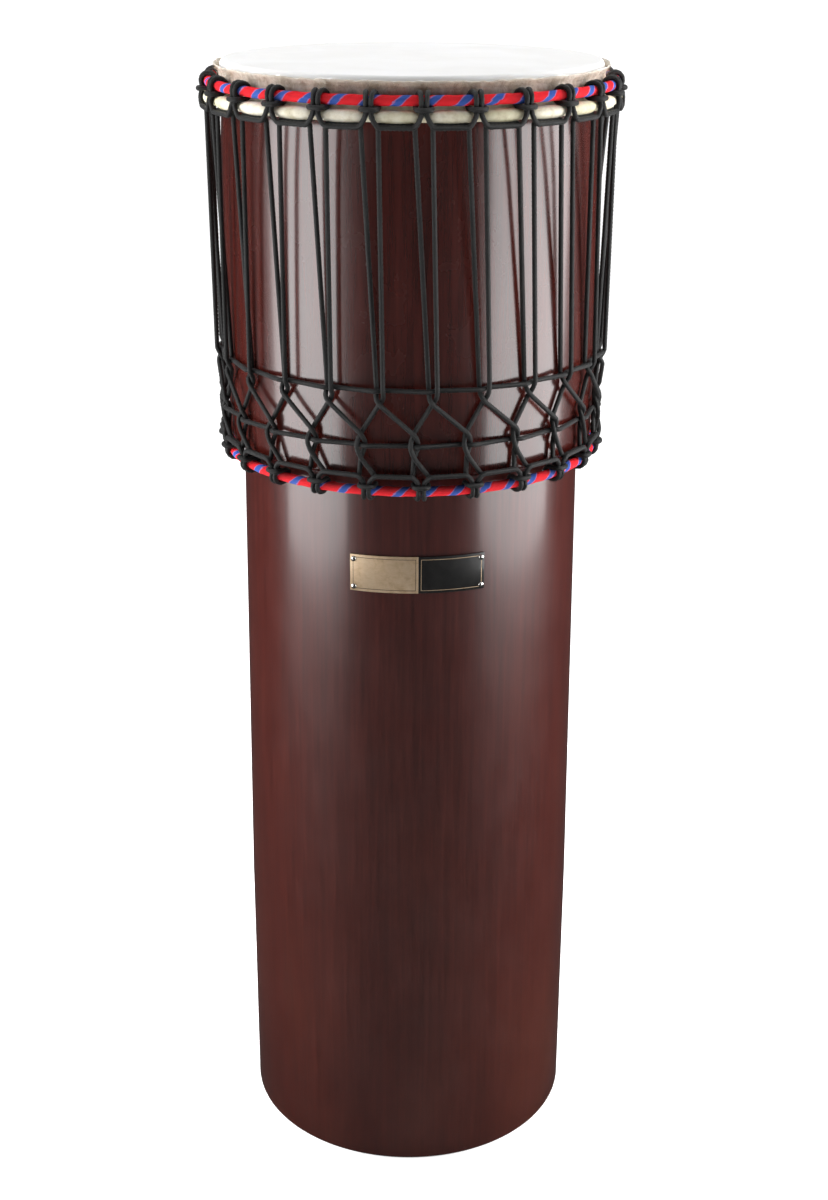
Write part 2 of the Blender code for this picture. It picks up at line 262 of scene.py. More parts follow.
def raw_skin():
    m, nt, b = new_material("goat_skin")
    co = add(nt, "ShaderNodeTexCoord").outputs["Object"]
    xyz = add(nt, "ShaderNodeSeparateXYZ", {0: co})
    r = math(nt, "SQRT", math(nt, "ADD", math(nt, "MULTIPLY", xyz.outputs[0], xyz.outputs[0]),
                              math(nt, "MULTIPLY", xyz.outputs[1], xyz.outputs[1])))
    z = xyz.outputs[2]
    fine = noise_tex(nt, co, 900, 4, 0.6)
    cloud = noise_tex(nt, co, 16, 5, 0.55, 0.6)
    fleck = noise_tex(nt, co, 150, 4, 0.65)
    streak = noise_tex(nt, stretched(nt, co, (1, 1, 0.6)), 170, 5, 0.65, 0.5)
    head = ramp(nt, cloud, [(0.3, (0.76, 0.75, 0.735)), (0.7, (0.82, 0.815, 0.81))])
    cream = ramp(nt, fleck, [(0.25, (0.52, 0.44, 0.30)), (0.5, (0.74, 0.68, 0.54)), (0.75, (0.84, 0.80, 0.69))])
    olive = ramp(nt, cloud, [(0.42, (1.0, 1.0, 1.0)), (0.62, (0.70, 0.70, 0.52))])
    cream = mix(nt, 0.8, cream, olive, "MULTIPLY")
    collar = ramp(nt, streak, [(0.28, (0.27, 0.21, 0.155)), (0.44, (0.43, 0.36, 0.29)),
                               (0.56, (0.55, 0.48, 0.40)), (0.72, (0.70, 0.65, 0.57))])
    out = add(nt, "ShaderNodeMapRange", {"Value": z, "From Min": 0.9370, "From Max": 0.9400,
                                         "To Min": 0.0, "To Max": 1.0}).outputs[0]
    side = mix(nt, out, cream, collar)
    lip = add(nt, "ShaderNodeMapRange", {"Value": z, "From Min": 0.9468, "From Max": 0.9486,
                                         "To Min": 0.0, "To Max": 0.75}).outputs[0]
    side = mix(nt, lip, side, (0.62, 0.57, 0.50))
    top = math(nt, "GREATER_THAN", z, 0.9495)
    inner = math(nt, "LESS_THAN", r, 0.1528)
    on_head = math(nt, "MAXIMUM", top, inner)
    nt.links.new(mix(nt, on_head, side, head), b.inputs["Base Color"])
    b.inputs["Roughness"].default_value = 0.62
    b.inputs["Subsurface Weight"].default_value = 0.12
    b.inputs["Subsurface Radius"].default_value = (0.004, 0.003, 0.002)
    b.inputs["Subsurface Scale"].default_value = 1.0
    n = bump(nt, fine, 0.00012, 0.35)
    n = bump(nt, fleck, 0.0005, 0.35, n)
    nt.links.new(n, b.inputs["Normal"])
    return m


def goat_hair():
    m, nt, b = new_material("goat_hair")
    co = add(nt, "ShaderNodeTexCoord").outputs["Object"]
    pick = noise_tex(nt, co, 420, 2, 0.5)
    nt.links.new(ramp(nt, pick, [(0.34, (0.13, 0.075, 0.045)), (0.5, (0.46, 0.34, 0.24)),
                                 (0.66, (0.82, 0.76, 0.66))]), b.inputs["Base Color"])
    b.inputs["Roughness"].default_value = 0.5
    return m


def striped_cotton():
    """Red cloth with blue diagonals edged in pale lilac. The UV's first number
    counts wraps, the second goes once round the rod."""
    m, nt, b = new_material("striped_cotton")
    uv = add(nt, "ShaderNodeTexCoord").outputs["UV"]
    sep = add(nt, "ShaderNodeSeparateXYZ", {0: uv})
    wob = noise_tex(nt, stretched(nt, uv, (1.7, 1.3, 1)), 2.2, 2, 0.5)
    s = math(nt, "ADD", sep.outputs[0], math(nt, "MULTIPLY", wob, 0.22))
    f = math(nt, "FRACT", s)
    stripe = ramp(nt, f, [(0.0, (0.70, 0.007, 0.016)), (0.55, (0.70, 0.007, 0.016)), (0.565, (0.34, 0.15, 0.36)),
                          (0.60, (0.34, 0.15, 0.36)), (0.615, (0.030, 0.085, 0.37)),
                          (0.86, (0.030, 0.085, 0.37)), (0.875, (0.34, 0.15, 0.36)), (0.90, (0.34, 0.15, 0.36)),
                          (0.915, (0.70, 0.007, 0.016))])
    threads = add(nt, "ShaderNodeTexWave", {"Vector": stretched(nt, uv, (26, 20, 1)), "Scale": 1.0,
                                            "Distortion": 0.4}).outputs[1]
    cross = add(nt, "ShaderNodeTexWave", {"Vector": stretched(nt, uv, (26, 20, 1)), "Scale": 1.0,
                                          "Distortion": 0.4}, bands_direction="Y").outputs[1]
    weave = math(nt, "MULTIPLY", threads, cross)
    col = mix(nt, 0.25, stripe, ramp(nt, weave, [(0.0, grey(0.55)), (0.6, grey(1.1))]), "MULTIPLY")
    nt.links.new(col, b.inputs["Base Color"])
    b.inputs["Roughness"].default_value = 0.85
    b.inputs["Specular IOR Level"].default_value = 0.25
    nt.links.new(bump(nt, weave, 0.00012, 0.6), b.inputs["Normal"])
    return m


def braided_cord():
    m, nt, b = new_material("braided_cord")
    uv = add(nt, "ShaderNodeTexCoord").outputs["UV"]
    fibre = add(nt, "ShaderNodeTexWave", {"Vector": stretched(nt, uv, (9, 34, 1)), "Scale": 1.0,
                                          "Distortion": 1.2, "Detail": 2.0}, bands_direction="DIAGONAL").outputs[1]
    co = add(nt, "ShaderNodeTexCoord").outputs["Object"]
    dust = noise_tex(nt, co, 140, 4, 0.6)
    base = ramp(nt, fibre, [(0.2, (0.0030, 0.0031, 0.0032)), (0.9, (0.0105, 0.0108, 0.0110))])
    nt.links.new(mix(nt, ramp(nt, dust, [(0.5, grey(0.0)), (0.85, grey(0.5))]), base, (0.022, 0.022, 0.021)),
                 b.inputs["Base Color"])
    b.inputs["Roughness"].default_value = 0.55
    b.inputs["Specular IOR Level"].default_value = 0.35
    b.inputs["Sheen Weight"].default_value = 0.08
    b.inputs["Sheen Roughness"].default_value = 0.45
    nt.links.new(bump(nt, fibre, 0.00010, 0.5), b.inputs["Normal"])
    return m


def steel():
    m, nt, b = new_material("ring_steel")
    co = add(nt, "ShaderNodeTexCoord").outputs["Object"]
    n1 = noise_tex(nt, co, 300, 4, 0.6)
    nt.links.new(ramp(nt, n1, [(0.3, grey(0.30)), (0.7, grey(0.52))]), b.inputs["Base Color"])
    b.inputs["Metallic"].default_value = 1.0
    nt.links.new(ramp(nt, n1, [(0.3, grey(0.50)), (0.7, grey(0.30))]), b.inputs["Roughness"])
    return m


def plate_metal(name, dark):
    """Brushed brass, or black enamel on it."""
    m, nt, b = new_material(name)
    co = add(nt, "ShaderNodeTexCoord").outputs["Object"]
    brush = noise_tex(nt, stretched(nt, co, (0.05, 0.05, 1)), 5200, 3, 0.6)
    stain = noise_tex(nt, co, 120, 4, 0.6, 0.5)
    if dark:
        nt.links.new(ramp(nt, stain, [(0.3, (0.006, 0.006, 0.006)), (0.75, (0.015, 0.014, 0.013))]),
                     b.inputs["Base Color"])
        b.inputs["Roughness"].default_value = 0.34
        b.inputs["Coat Weight"].default_value = 0.3
    else:
        tone = ramp(nt, stain, [(0.25, (0.44, 0.31, 0.18)), (0.5, (0.60, 0.44, 0.285)), (0.8, (0.68, 0.53, 0.36))])
        nt.links.new(mix(nt, 0.5, tone, ramp(nt, brush, [(0.3, grey(0.72)), (0.7, grey(1.1))]), "MULTIPLY"),
                     b.inputs["Base Color"])
        b.inputs["Metallic"].default_value = 0.6
        nt.links.new(ramp(nt, stain, [(0.3, grey(0.50)), (0.75, grey(0.34))]), b.inputs["Roughness"])
    nt.links.new(bump(nt, brush, 0.00003, 0.5), b.inputs["Normal"])
    return m


def nickel():
    m, nt, b = new_material("nail_nickel")
    co = add(nt, "ShaderNodeTexCoord").outputs["Object"]
    n1 = noise_tex(nt, co, 1500, 3, 0.6)
    nt.links.new(ramp(nt, n1, [(0.3, (0.52, 0.50, 0.46)), (0.7, (0.80, 0.79, 0.76))]), b.inputs["Base Color"])
    b.inputs["Metallic"].default_value = 1.0
    b.inputs["Roughness"].default_value = 0.24
    nt.links.new(bump(nt, n1, 0.00005, 0.4), b.inputs["Normal"])
    return m


WOOD_UP = stained_wood("mahogany_shell", 0.26)
WOOD_LOW = stained_wood("mahogany_tube", 0.30)
HIDE = raw_skin()
HAIR = goat_hair()
COTTON = striped_cotton()
CORD = braided_cord()
STEEL = steel()
BRASS = plate_metal("plate_brass", False)
ENAMEL = plate_metal("plate_enamel", True)
NICKEL = nickel()

for name in ("flesh_hoop", "crown_ring", "lower_ring"):
    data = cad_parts[name].data
    data.materials.clear()
    data.materials.append(STEEL)

# ---------------------------------------------------------------------------
# Tube and shell
# ---------------------------------------------------------------------------
STEPS = 240

outer = [(TUBE_FOOT_R - 6.6, 0.0)] + arc(TUBE_FOOT_R - 1.6, 1.6, 1.6, -90, 0, 6)
outer += rail(outer[-1], (TUBE_FOOT_R, TUBE_STRAIGHT_Z), 6) + [(TUBE_FOOT_R, TUBE_STRAIGHT_Z)]
outer += rail((TUBE_FOOT_R, TUBE_STRAIGHT_Z), (TUBE_NECK_R, 640.0), 12)
outer += [(TUBE_NECK_R, 640.0), (SPIGOT_R, 652.0), (SPIGOT_R, TUBE_TOP_Z - 1.0), (SPIGOT_R - 1.0, TUBE_TOP_Z)]
inner = [(SPIGOT_R - TUBE_WALL + 0.6, TUBE_TOP_Z), (SPIGOT_R - TUBE_WALL, TUBE_TOP_Z - 0.6), (SPIGOT_R - TUBE_WALL, 640.0)]
inner += rail((SPIGOT_R - TUBE_WALL, 640.0), (TUBE_FOOT_R - TUBE_WALL, TUBE_STRAIGHT_Z), 8)
inner += [(TUBE_FOOT_R - TUBE_WALL, TUBE_STRAIGHT_Z), (TUBE_FOOT_R - TUBE_WALL, 1.0), (TUBE_FOOT_R - TUBE_WALL + 1.0, 0.0)]
piece("lower_tube_body", grid_mesh("lower_tube_body", spin(outer + inner, STEPS), True, True), WOOD_LOW,
      "body_wood", "lower_tube", sharp=35)

bore = SPIGOT_R + CLEAR
side = catmull([(152.6, SHELL_FOOT_Z + 2.4), (153.4, 700.0), (SHELL_BELLY_R, 780.0), (153.6, 870.0),
                (152.4, 908.0), (SHELL_MOUTH_R, 922.0)], 8)
outer = [(bore, SHELL_FOOT_Z)] + arc(150.2, SHELL_FOOT_Z + 2.4, 2.4, -90, 0, 6) + [tuple(p) for p in side[1:]]
outer += [(SHELL_MOUTH_R, 945.0)] + arc(SHELL_MOUTH_R - 2.6, 947.6, 2.6, 0, 70, 5)
outer += [(SHELL_CREST_R, SHELL_CREST_Z), (SHELL_CREST_R - 1.2, 950.8), (SHELL_CREST_R - 2.4, 949.4),
          (SHELL_BORE_R, 943.0), (SHELL_BORE_R, TUBE_TOP_Z + 7.0), (bore, TUBE_TOP_Z + 3.0)]
piece("upper_shell_body", grid_mesh("upper_shell_body", spin(outer, STEPS), True, True), WOOD_UP,
      "body_wood", "upper_shell", sharp=35)


# ---------------------------------------------------------------------------
# Rope net: the same rules as the solids
# ---------------------------------------------------------------------------
def crowding(z):
    low, high = -0.04, 0.085
    t = min(1.0, max(0.0, (z - LOWER_Z) / (CROWN_Z - LOWER_Z)))
    return low + (high - low) * sin(t * pi / 2) ** 0.75


def angle_at(k, z):
    a = 2 * pi / CELLS * k
    return radians(TURN) + a - crowding(z) * sin(a)


def phase_at(t, z):
    """Cell number, as a real, at angle t from the front."""
    a = t - radians(TURN)
    c = crowding(z)
    for _ in range(6):
        a = t - radians(TURN) + c * np.sin(a)
    return a * CELLS / (2 * pi)


def place(k, u, r, z):
    t = angle_at(k, z) + u / r
    return (r * sin(t), -r * cos(t), z)


def hitch(ring_r, ring_z, up, leg, lean=0.0):
    step = 50
    wrap = (RING_OUT + CORD_R + CLEAR) / cos(radians(step / 2))
    pts = list(leg)
    pts.append((HALF, ring_r + 4.4, ring_z - (6.0 + 0.4 * lean) * up))
    for i in range(7):
        a = radians(5 + step * i)
        s = sin(pi / 2 * min(1.0, i / 5)) ** 2
        pts.append((HALF + PITCH * s, ring_r + wrap * cos(a), ring_z + wrap * sin(a) * up))
    low = (5.8 - 0.5 * lean) * up
    pts.append((HALF + 0.93 * PITCH, ring_r + 6.6 + 0.5 * lean, ring_z - low))
    pts.append((HALF + 0.33 * PITCH, ring_r + 4.5 + PITCH + 0.5 * lean, ring_z - low))
    return pts


def hitch_cord(half):
    pts = []
    for k in range(CELLS):
        pts += [place(k, -u, r, z) for u, r, z in half]
        pts += [place(k, u, r, z) for u, r, z in reversed(half)]
    return pts


def crown_hitches():
    leg = [(BAR_END, *TOP_BAR), (HALF, HOOP_R + HOOP_OUT + CORD_R + 0.7, HOOP_Z + 0.8)]
    return hitch_cord(hitch(CROWN_R, CROWN_Z, 1, leg))


def lower_hitches():
    leg = [(BAR_END, *LOW_BAR), (HALF + 0.8, LOWER_R + 6.6, LOWER_Z + 9.2)]
    return hitch_cord(hitch(LOWER_R, LOWER_Z, -1, leg, 1.0))


TWIST_A = ((0.0, 1.14, 225), (-6.0, 0.78, 170), (-10.2, 0.54, 90))
TWIST_B = ((8.6, 0.58, 63), (0.0, 1.18, -35), (-9.2, 0.52, -93))


def strand(k, shift, row_r, row_z, twist, s):
    pts = []
    for dz, h, ang in twist:
        du = s * h * PITCH * cos(radians(ang))
        dr = s * h * PITCH * sin(radians(ang))
        pts.append(place(k, shift + du, row_r + dr, row_z + dz))
    return pts


def lacing():
    pts = []
    for k in range(CELLS):
        fall = [place(k, -BAR_END, *TOP_RUN)]
        fall += strand(k, A_SHIFT, ROW_A_R, ROW_A_Z, TWIST_A, 1)
        fall += strand(k + 1, B_SHIFT, ROW_B_R, ROW_B_Z, TWIST_B, 1)
        fall += [place(k + 1, -BAR_END, *LOW_RUN)]
        rise = [place(k, BAR_END, *TOP_RUN)]
        rise += strand(k, A_SHIFT, ROW_A_R, ROW_A_Z, TWIST_A, -1)
        rise += strand(k, B_SHIFT, ROW_B_R, ROW_B_Z, TWIST_B, -1)
        rise += [place(k, BAR_END, *LOW_RUN)]
        pts += fall + rise[::-1]
    return pts


def weaving_row(shift, row_r, row_z, first):
    pts = []
    for k in range(CELLS):
        for s in (-1, 1):
            pts.append(place(k, shift + s * 0.83 * PITCH, row_r - s * first * 0.6 * PITCH, row_z))
    return pts


def rounded_route(points, step):
    """Even points, `step` mm apart, along the closed polyline with its
    corners rounded. The curve touches the middle of every edge."""
    p = np.array(points, float)
    q = []
    for a, b in zip(p, np.roll(p, -1, axis=0)):
        d = np.linalg.norm(b - a)
        q.append(a)
        if d > 16:
            n = (b - a) / d
            q += [a + 5 * n, a + 8 * n, b - 8 * n, b - 5 * n]
    p = np.array(q)
    for _ in range(4):
        nxt = np.roll(p, -1, axis=0)
        p = np.stack([0.75 * p + 0.25 * nxt, 0.25 * p + 0.75 * nxt], 1).reshape(-1, 3)
    closed = np.vstack([p, p[:1]])
    s = np.concatenate([[0], np.cumsum(np.linalg.norm(np.diff(closed, axis=0), axis=1))])
    n = max(8, int(round(s[-1] / step)))
    t = np.linspace(0, s[-1], n, endpoint=False)
    return np.stack([np.interp(t, s, closed[:, i]) for i in range(3)], 1), s[-1]


def carried_frames(p):
    """Two side directions along a closed route, turning as little as they can."""
    d = np.roll(p, -1, axis=0) - np.roll(p, 1, axis=0)
    d /= np.linalg.norm(d, axis=1)[:, None]
    n = len(p)
    u = np.zeros_like(p)
    v = np.cross(d[0], [0, 0, 1.0])
    if np.linalg.norm(v) < 0.1:
        v = np.cross(d[0], [1.0, 0, 0])
    u[0] = v / np.linalg.norm(v)
    for i in range(1, n):
        v = u[i - 1] - d[i] * (u[i - 1] @ d[i])
        u[i] = v / np.linalg.norm(v)
    w = np.cross(d, u)
    last = u[-1] - d[0] * (u[-1] @ d[0])
    last /= np.linalg.norm(last)
    off = atan2(last @ w[0], last @ u[0])
    turn = -off * np.arange(n) / n
    c, s = np.cos(turn)[:, None], np.sin(turn)[:, None]
    return u * c + w * s, w * c - u * s


def braid(name, points, *nodes):
    """Braided round cord: eight carriers crossing over and under."""
    step, sides = ((0.8, 12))
    p, length = rounded_route(points, step)
    u, w = carried_frames(p)
    n = len(p)
    strands = 4
    pick = max(1, round(length / 3.3))
    phi = np.linspace(0, 2 * pi, sides, endpoint=False)
    s = np.arange(n)[:, None] / n * pick
    f = phi[None, :] / (2 * pi) * strands
    a, b = f + s, f - s
    fa, fb = a - np.floor(a), b - np.floor(b)
    even = (np.floor(a) + np.floor(b)) % 2 == 0
    ha = np.sin(pi * fa) ** 0.6 * (0.62 + 0.38 * np.sin(pi * fb))
    hb = np.sin(pi * fb) ** 0.6 * (0.62 + 0.38 * np.sin(pi * fa))
    h = np.where(even, ha, hb)
    r = ROPE_R - 0.26 + 0.38 * h
    P = p[:, None, :] + r[..., None] * (np.cos(phi)[None, :, None] * u[:, None, :]
                                        + np.sin(phi)[None, :, None] * w[:, None, :])
    uv = np.zeros((n + 1, sides + 1, 2))
    uv[..., 0] = (np.arange(n + 1) / n * pick)[:, None]
    uv[..., 1] = (np.arange(sides + 1) / sides)[None, :]
    return piece(name, grid_mesh(name, P, True, True, uv), CORD, "tuning_cord", *nodes)


braid("crown_hitch_braid", crown_hitches(), "crown_hitch_cord")
braid("lower_hitch_braid", lower_hitches(), "lower_hitch_cord")
braid("lacing_braid", lacing(), "lacing_cord")
braid("upper_weaving_braid", weaving_row(A_SHIFT, ROW_A_R, ROW_A_Z, 1), "upper_weaving_cord")
braid("lower_weaving_braid", weaving_row(B_SHIFT, ROW_B_R, ROW_B_Z, -1), "lower_weaving_cord")


# ---------------------------------------------------------------------------
# Cloth wound round the rings
# ---------------------------------------------------------------------------
def wound_cloth(name, ring_r, ring_z, wraps, seed, *nodes):
    """Strip wound round the rod: each turn laps over the one before it."""
    nu, nv = ((1920, 28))
    t = np.linspace(0, 2 * pi, nu, endpoint=False)
    a = np.linspace(0, 2 * pi, nv, endpoint=False)
    T, A = np.meshgrid(t, a, indexing="ij")
    turn = T / (2 * pi) * wraps - A / (2 * pi)
    f = turn - np.floor(turn)
    r = 3.66 + 0.34 * np.clip(f / 0.9, 0, 1) ** 0.8 - 0.30 * np.clip((f - 0.93) / 0.07, 0, 1)
    pucker = np.array([[noise.noise(Vector((cos(x) * 26, sin(x) * 26, y * 1.3 + seed))) for y in np.cos(a)] for x in t])
    r = r + 0.10 * pucker
    R = ring_r + r * np.cos(A)
    P = np.stack([R * np.sin(T), -R * np.cos(T), ring_z + r * np.sin(A)], -1)
    uv = np.zeros((nu + 1, nv + 1, 2))
    tt, aa = np.meshgrid(np.arange(nu + 1) / nu, np.arange(nv + 1) / nv, indexing="ij")
    uv[..., 0] = tt * wraps - aa
    uv[..., 1] = aa
    return piece(name, grid_mesh(name, P, True, True, uv), COTTON, "ring_cloth", *nodes)


wound_cloth("crown_cloth_wrap", CROWN_R, CROWN_Z, 44, 0.0, "crown_ring_cloth")
wound_cloth("lower_cloth_wrap", LOWER_R, LOWER_Z, 44, 7.0, "lower_ring_cloth")

# ---------------------------------------------------------------------------
# Skin: head, side, pillows over the flesh hoop, trimmed collar
# ---------------------------------------------------------------------------
DOWN = SHELL_MOUTH_R + 0.25 + SKIN / 2
BACK = DOWN + SKIN + 0.25


def skin_section(t):
    """Middle line of the skin at angle t from the front, as an open curve."""
    ph = float(phase_at(t, HOOP_Z))
    f = ph - np.floor(ph)
    puff = max(0.0, sin(pi * min(1.0, max(0.0, (f - 0.13) / 0.74)))) ** 0.55
    w = noise.noise(Vector((cos(t) * 9, sin(t) * 9, 3.1)))
    w2 = noise.noise(Vector((cos(t) * 31, sin(t) * 31, 8.7)))
    fold = HOOP_OUT - SKIN / 2 + puff * (1.45 + 0.25 * w)
    hz = HOOP_Z + 0.15 * puff
    line = [(DOWN - 0.9, 950.1), (DOWN, 947.2), (DOWN, 938.0), (DOWN, 929.6), (DOWN + 1.2, 925.4),
            (DOWN + 4.2 - 0.3 * puff, 922.6 - 1.1 * puff)]
    line += [(HOOP_R + fold * cos(radians(g)), hz + fold * sin(radians(g))) for g in (-100, -62, -25, 10, 45, 90, 128)]
    line += [(156.6, 927.2), (BACK + 1.0, 928.9), (BACK, 932.0), (BACK, 938.0), (BACK + 0.1 + 0.3 * w, 943.2)]
    flare = 2.0 + 1.0 * w + 0.5 * w2
    top = 949.2 + 1.3 * w + 1.1 * w2
    line += [(BACK + 0.5 * flare, 945.4 + 0.2 * w2), (BACK + 1.1 * flare, 0.5 * (945.4 + top)), (BACK + 1.5 * flare + 0.6, top)]
    return line


def skin_mesh():
    nt_ = 960
    rim = [(SHELL_CREST_R - 0.4, HEAD_Z), (SHELL_CREST_R + 0.9, HEAD_Z - 0.25)]
    flat = [(r, HEAD_Z) for r in (0.02, 12, 30, 50, 70, 90, 105, 118, 128, 136, 142, 146)]
    rows = []
    for i in range(nt_):
        t = 2 * pi * i / nt_
        curve = catmull(rim + skin_section(t), 4)
        mid = np.array(flat + [tuple(q) for q in curve])
        d = np.gradient(mid, axis=0)
        d /= np.linalg.norm(d, axis=1)[:, None]
        nrm = np.stack([-d[:, 1], d[:, 0]], 1)
        nrm[0] = (0, 1)
        a = mid + nrm * SKIN / 2
        b = mid - nrm * SKIN / 2
        loop = np.vstack([a, b[::-1]])
        loop[0, 0] = loop[-1, 0] = 0.02
        rows.append(np.stack([loop[:, 0] * sin(t), -loop[:, 0] * cos(t), loop[:, 1]], 1))
    P = np.array(rows)
    m = P.shape[1]
    # the small waves of the collar and the pillows, outside the bearing edge only, come from skin_section
    half = m // 2
    return grid_mesh("head_skin", P, True, False)


me = skin_mesh()
import bmesh
bm = bmesh.new()
bm.from_mesh(me)
bmesh.ops.remove_doubles(bm, verts=[v for v in bm.verts if v.co.x ** 2 + v.co.y ** 2 < 1e-8], dist=0.0002)
bmesh.ops.recalc_face_normals(bm, faces=bm.faces)
bm.to_mesh(me)
bm.free()
piece("head_skin", me, HIDE, "head_skin", "drumhead_skin")


def hair_mesh():
    """Short goat hair left on the trimmed collar."""
    rng = random.Random(11)
    count = 3400
    verts, faces = [], []
    for _ in range(count):
        t = rng.uniform(0, 2 * pi)
        w = noise.noise(Vector((cos(t) * 9, sin(t) * 9, 3.1)))
        if rng.random() < 0.25 - 0.5 * w:
            continue
        line = skin_section(t)
        r1, z1 = line[-1]
        r0, z0 = line[-3]
        q = rng.uniform(-0.6, 1.0)
        r = r0 + (r1 - r0) * max(0.0, q) + SKIN / 2 - 0.05 + 0.1
        z = z0 + (z1 - z0) * q
        length = rng.uniform(1.6, 4.2)
        thick = rng.uniform(0.05, 0.10)
        lean = rng.gauss(0, 0.55)
        drop = rng.uniform(-0.5, 0.75)
        out = rng.uniform(0.25, 0.9)
        base = np.array([r * sin(t), -r * cos(t), z])
        radial = np.array([sin(t), -cos(t), 0.0])
        tang = np.array([cos(t), sin(t), 0.0])
        up = np.array([0, 0, 1.0])
        ring = []
        for j in range(4):
            s = j / 3
            c = base + length * s * (radial * out * (1 - 0.3 * s) + tang * lean + up * (drop - 0.7 * s))
            c[2] = min(c[2], 952.3)
            rr = np.hypot(c[0], c[1])
            if rr > 166.5:
                c[:2] *= 166.5 / rr
            wd = thick * (1 - 0.75 * s)
            start = len(verts)
            for g in range(3):
                an = 2 * pi * g / 3
                verts.append(tuple(MM * (c + wd * (cos(an) * tang + sin(an) * up))))
            ring.append(start)
        for j in range(3):
            for g in range(3):
                g2 = (g + 1) % 3
                faces.append((ring[j] + g, ring[j] + g2, ring[j + 1] + g2, ring[j + 1] + g))
        faces.append((ring[0] + 2, ring[0] + 1, ring[0]))
        faces.append((ring[3], ring[3] + 1, ring[3] + 2))
    me = bpy.data.meshes.new("collar_hair")
    me.from_pydata(verts, [], faces)
    me.validate()
    me.shade_smooth()
    return me


piece("collar_hair", hair_mesh(), HAIR, "head_skin")


# ---------------------------------------------------------------------------
# Badge: one plate, brass on the left and black on the right, plain borders
# ---------------------------------------------------------------------------
SEAM = 0.4                 # mm right of the plate's middle


def on_tube(x, z, r):
    t = radians(BADGE_TURN) + x / BADGE_R
    return (r * sin(t), -r * cos(t), z)


def bent_slab(name, x0, x1, z0, z1, r0, r1, mat, round_off, slot, *nodes):
    """Slab bent to the tube, its outer edge softened."""
    nx = max(2, int((x1 - x0) / 1.5))
    xs = np.linspace(x0, x1, nx + 1)
    zs = np.linspace(z0, z1, 13)
    e = round_off
    bm = bmesh.new()
    rings = []
    for inset, r in ((0.0, r0), (0.0, r1 - e), (0.3 * e, r1 - 0.3 * e), (e, r1)):
        loop = [(x, z0 + inset) for x in xs] + [(x1 - inset, z) for z in zs[1:-1]]
        loop += [(x, z1 - inset) for x in xs[::-1]] + [(x0 + inset, z) for z in zs[1:-1][::-1]]
        rings.append([bm.verts.new(tuple(MM * c for c in on_tube(min(max(x, x0 + inset), x1 - inset), z, r)))
                      for x, z in loop])
    for a, b in zip(rings, rings[1:]):
        for i in range(len(a)):
            j = (i + 1) % len(a)
            bm.faces.new((a[i], a[j], b[j], b[i]))
    for ring, top in ((rings[0], False), (rings[-1], True)):
        n = nx + 1
        low = ring[:n]
        high = ring[n + 11:2 * n + 11][::-1]
        for i in range(nx):
            bm.faces.new((low[i], low[i + 1], high[i + 1], high[i]))
        bm.faces.new([low[0]] + [high[0]] + ring[2 * n + 11:])
        bm.faces.new([low[-1]] + ring[n:n + 11] + [high[-1]])
    bmesh.ops.recalc_face_normals(bm, faces=bm.faces)
    me = bpy.data.meshes.new(name)
    bm.to_mesh(me)
    bm.free()
    me.shade_smooth()
    return piece(name, me, mat, slot, *nodes, sharp=30)


HW, HH = BADGE_W / 2, BADGE_H / 2
FACE = BADGE_R + BADGE_T
bent_slab("badge_left", -HW, SEAM, BADGE_Z - HH, BADGE_Z + HH, BADGE_R, FACE, BRASS, 0.25, "badge_brass", "badge_plate")
bent_slab("badge_right", SEAM + 0.02, HW, BADGE_Z - HH, BADGE_Z + HH, BADGE_R, FACE, ENAMEL, 0.25, "badge_brass")


def border(name, x0, x1, z0, z1, width, height, mat):
    """Thin raised line round a field of the plate."""
    bm = bmesh.new()
    for a, b, c, d in ((x0, x1, z0, z0 + width), (x0, x1, z1 - width, z1),
                       (x0, x0 + width, z0 + width, z1 - width), (x1 - width, x1, z0 + width, z1 - width)):
        n = max(1, int((b - a) / 2))
        low = []
        for i in range(n + 1):
            x = a + (b - a) * i / n
            low.append([bm.verts.new(tuple(MM * q for q in on_tube(x, z, r)))
                        for z, r in ((c, FACE - 0.1), (c, FACE + height), (d, FACE + height), (d, FACE - 0.1))])
        for p, q in zip(low, low[1:]):
            for g in range(4):
                bm.faces.new((p[g], p[(g + 1) % 4], q[(g + 1) % 4], q[g]))
        bm.faces.new(low[0])
        bm.faces.new(low[-1])
    bmesh.ops.recalc_face_normals(bm, faces=bm.faces)
    me = bpy.data.meshes.new(name)
    bm.to_mesh(me)
    bm.free()
    return piece(name, me, mat, "badge_brass")


border("badge_left_line", -HW + 2.4, SEAM - 2.0, BADGE_Z - HH + 2.2, BADGE_Z + HH - 2.2, 0.35, 0.05, ENAMEL)
border("badge_right_line", SEAM + 2.0, HW - 2.4, BADGE_Z - HH + 2.2, BADGE_Z + HH - 2.2, 0.45, 0.05, BRASS)

